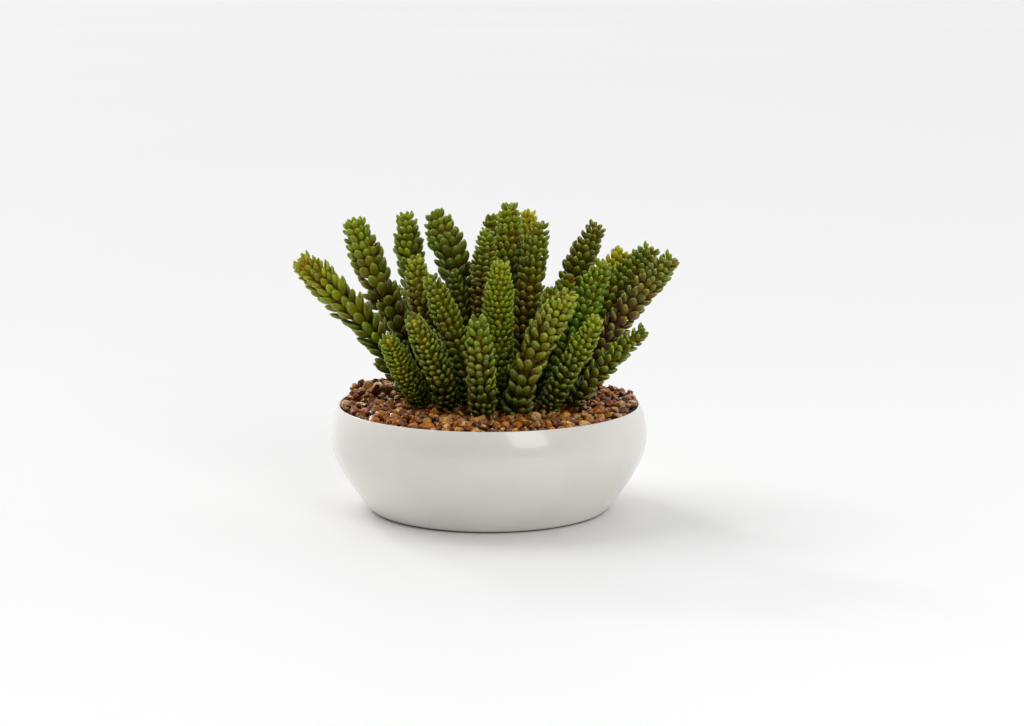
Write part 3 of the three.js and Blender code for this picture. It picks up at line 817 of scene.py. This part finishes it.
def leaves_mesh(rng, number, axis, reach, setting):
    """All leaves of a stem: points, triangles and the numbers that their colours go by."""
    leaf, leaf_triangles, leaf_edge = fine_leaf if setting["wide"] > FINE_FROM else coarse_leaf
    levels, ring = leaf_rings(axis, setting, reach)
    rise, angle = leaf_places(rng, number, setting, levels, ring)
    count = len(rise)
    left = axis.length - rise
    ending = 1 - smooth_step(left, *TIP_FOLD_FROM)
    starting = 1 - smooth_step(rise, 0, LOW_SPREAD_TO)
    spread = setting["spread"] * (1 - TIP_FOLD * ending) + LOW_SPREAD * starting
    spread = np.radians(spread + rng.normal(0, SPREAD_DRAW, count))
    size = lowly(rise) ** LOW_POWER * grown(setting, left)
    sizes = [setting[k] * size * rng.uniform(*SIZE_DRAW, count) for k in ("long", "wide", "thick")]
    long, wide, thick = sizes
    out = axis.outwards(rise, angle)
    along = axis.direction(rise)
    root = axis.point(rise) + out * root_radius(setting, reach, left)[:, None]
    spread, long = folded_back(axis, root, along, out, spread, long)
    ahead, across, inwards = leaf_frames(rng, along, out, spread)
    bend = LEAF_BEND * rng.uniform(*BEND_DRAW, count)
    u, v, w = leaf.T
    points = (
        root[:, None]
        + ahead[:, None] * (long[:, None] * u)[:, :, None]
        + across[:, None] * (wide[:, None] * v)[:, :, None]
        + inwards[:, None] * (thick[:, None] * w + (bend * long)[:, None] * u**2)[:, :, None]
    ).reshape(-1, 3)
    triangles = (leaf_triangles[None] + len(leaf) * np.arange(count)[:, None, None]).reshape(-1, 3)
    values = {
        "leaf_along": np.tile(u, count),
        "leaf_edge": np.tile(leaf_edge, count),
        "leaf_draw": np.repeat(rng.uniform(0, 1, count), len(leaf)),
        "stem_share": np.repeat(rise / axis.length, len(leaf)),
    }
    return points, triangles, values


def stem_piece(number, stem, axis):
    """A stem with its leaves, in place of the solid of the same number."""
    _, _, _, reach, slot, setting, colours, flush = stem
    rng = np.random.default_rng(FIRST_STEM_SEED + number - 1)
    points, triangles, values = leaves_mesh(rng, number, axis, reach, setting)
    tube, tube_triangles, tube_share = core_mesh(axis, setting, reach)
    blank = np.zeros(len(tube))
    of_tube = {
        "leaf_along": blank + CORE_ALONG,
        "leaf_edge": blank,
        "leaf_draw": blank + CORE_DRAW,
        "stem_share": tube_share,
    }
    node = f"stem_{number:02d}"
    made = piece_of(
        f"leafy_{node}",
        np.concatenate([points, tube]),
        np.concatenate([triangles, tube_triangles + len(points)]),
        leaf_material(f"leaf_{node}", colours, flush),
        slot,
        {key: np.concatenate([values[key], of_tube[key]]) for key in values},
    )
    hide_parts(node)


axes = [Axis(*stem[:3]) for stem in STEMS]
fine_leaf = leaf_template(*FINE_LEAF)
coarse_leaf = leaf_template(*COARSE_LEAF)
for number, (stem, axis) in enumerate(zip(STEMS, axes), 1):
    stem_piece(number, stem, axis)

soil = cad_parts["soil"]
soil.data.materials.clear()
soil.data.materials.append(soil_material())

# Floor, light and camera


def floor_piece():
    look = Shader("pale_floor")
    body = look.ramp(look.noise(0.4, 2.0), [(0.3, "#f1f1f1"), (0.7, "#f3f3f3")])
    look.finish(Base_Color=body, Roughness=0.6)
    corners = [(x * FLOOR_REACH, y * FLOOR_REACH, 0) for x, y in ((-1, -1), (1, -1), (1, 1), (-1, 1))]
    mesh = bpy.data.meshes.new("floor")
    mesh.from_pydata(corners, [], [(0, 1, 2, 3)])
    mesh.materials.append(look.material)
    floor = bpy.data.objects.new("floor", mesh)
    bpy.context.scene.collection.objects.link(floor)


def area_light(name, place, aim, width, height, power):
    data = bpy.data.lights.new(name, "AREA")
    data.shape = "RECTANGLE"
    data.size, data.size_y, data.energy = width, height, power
    lamp = bpy.data.objects.new(name, data)
    lamp.location = place
    lamp.rotation_euler = (Vector(aim) - Vector(place)).to_track_quat("-Z", "Y").to_euler()
    bpy.context.scene.collection.objects.link(lamp)


def sun_light(name, source, angle, strength):
    data = bpy.data.lights.new(name, "SUN")
    data.angle, data.energy = math.radians(angle), strength
    lamp = bpy.data.objects.new(name, data)
    lamp.rotation_euler = Vector(source).to_track_quat("Z", "Y").to_euler()
    bpy.context.scene.collection.objects.link(lamp)


def studio_world():
    """A soft white room that is brightest behind the plant."""
    world = bpy.data.worlds.new("studio")
    world.use_nodes = True
    tree = world.node_tree
    place = tree.nodes.new("ShaderNodeTexCoord")
    parts = tree.nodes.new("ShaderNodeSeparateXYZ")
    tree.links.new(place.outputs["Generated"], parts.inputs[0])
    span = tree.nodes.new("ShaderNodeMapRange")
    for key, value in zip(("From Min", "From Max", "To Min", "To Max"), (*ROOM_SPAN, *ROOM_BRIGHTNESS)):
        span.inputs[key].default_value = value
    tree.links.new(parts.outputs["Y"], span.inputs["Value"])
    background = tree.nodes["Background"]
    tree.links.new(span.outputs["Result"], background.inputs["Strength"])
    background.inputs["Color"].default_value = (1, 1, 1, 1)
    bpy.context.scene.world = world


def front_camera():
    data = bpy.data.cameras.new("camera")
    data.lens = CAMERA_LENS
    data.sensor_width = CAMERA_SENSOR
    camera = bpy.data.objects.new("camera", data)
    aim = Vector(CAMERA_AIM)
    camera.location = aim + CAMERA_DISTANCE * Vector((0, -math.cos(CAMERA_DOWN), math.sin(CAMERA_DOWN)))
    camera.rotation_euler = (aim - camera.location).to_track_quat("-Z", "Y").to_euler()
    bpy.context.scene.collection.objects.link(camera)
    bpy.context.scene.camera = camera


floor_piece()
studio_world()
sun_light("key", source=(-0.5, 0.3, 0.8), angle=38, strength=0.8)
sun_light("rim", source=(-0.45, 0.75, 0.5), angle=8, strength=0.4)
area_light("window", place=(1.2, -2.0, 1.5), aim=(0, 0, 0.06), width=1.2, height=1.7, power=18)
front_camera()
bpy.context.scene.view_settings.view_transform = "Standard"
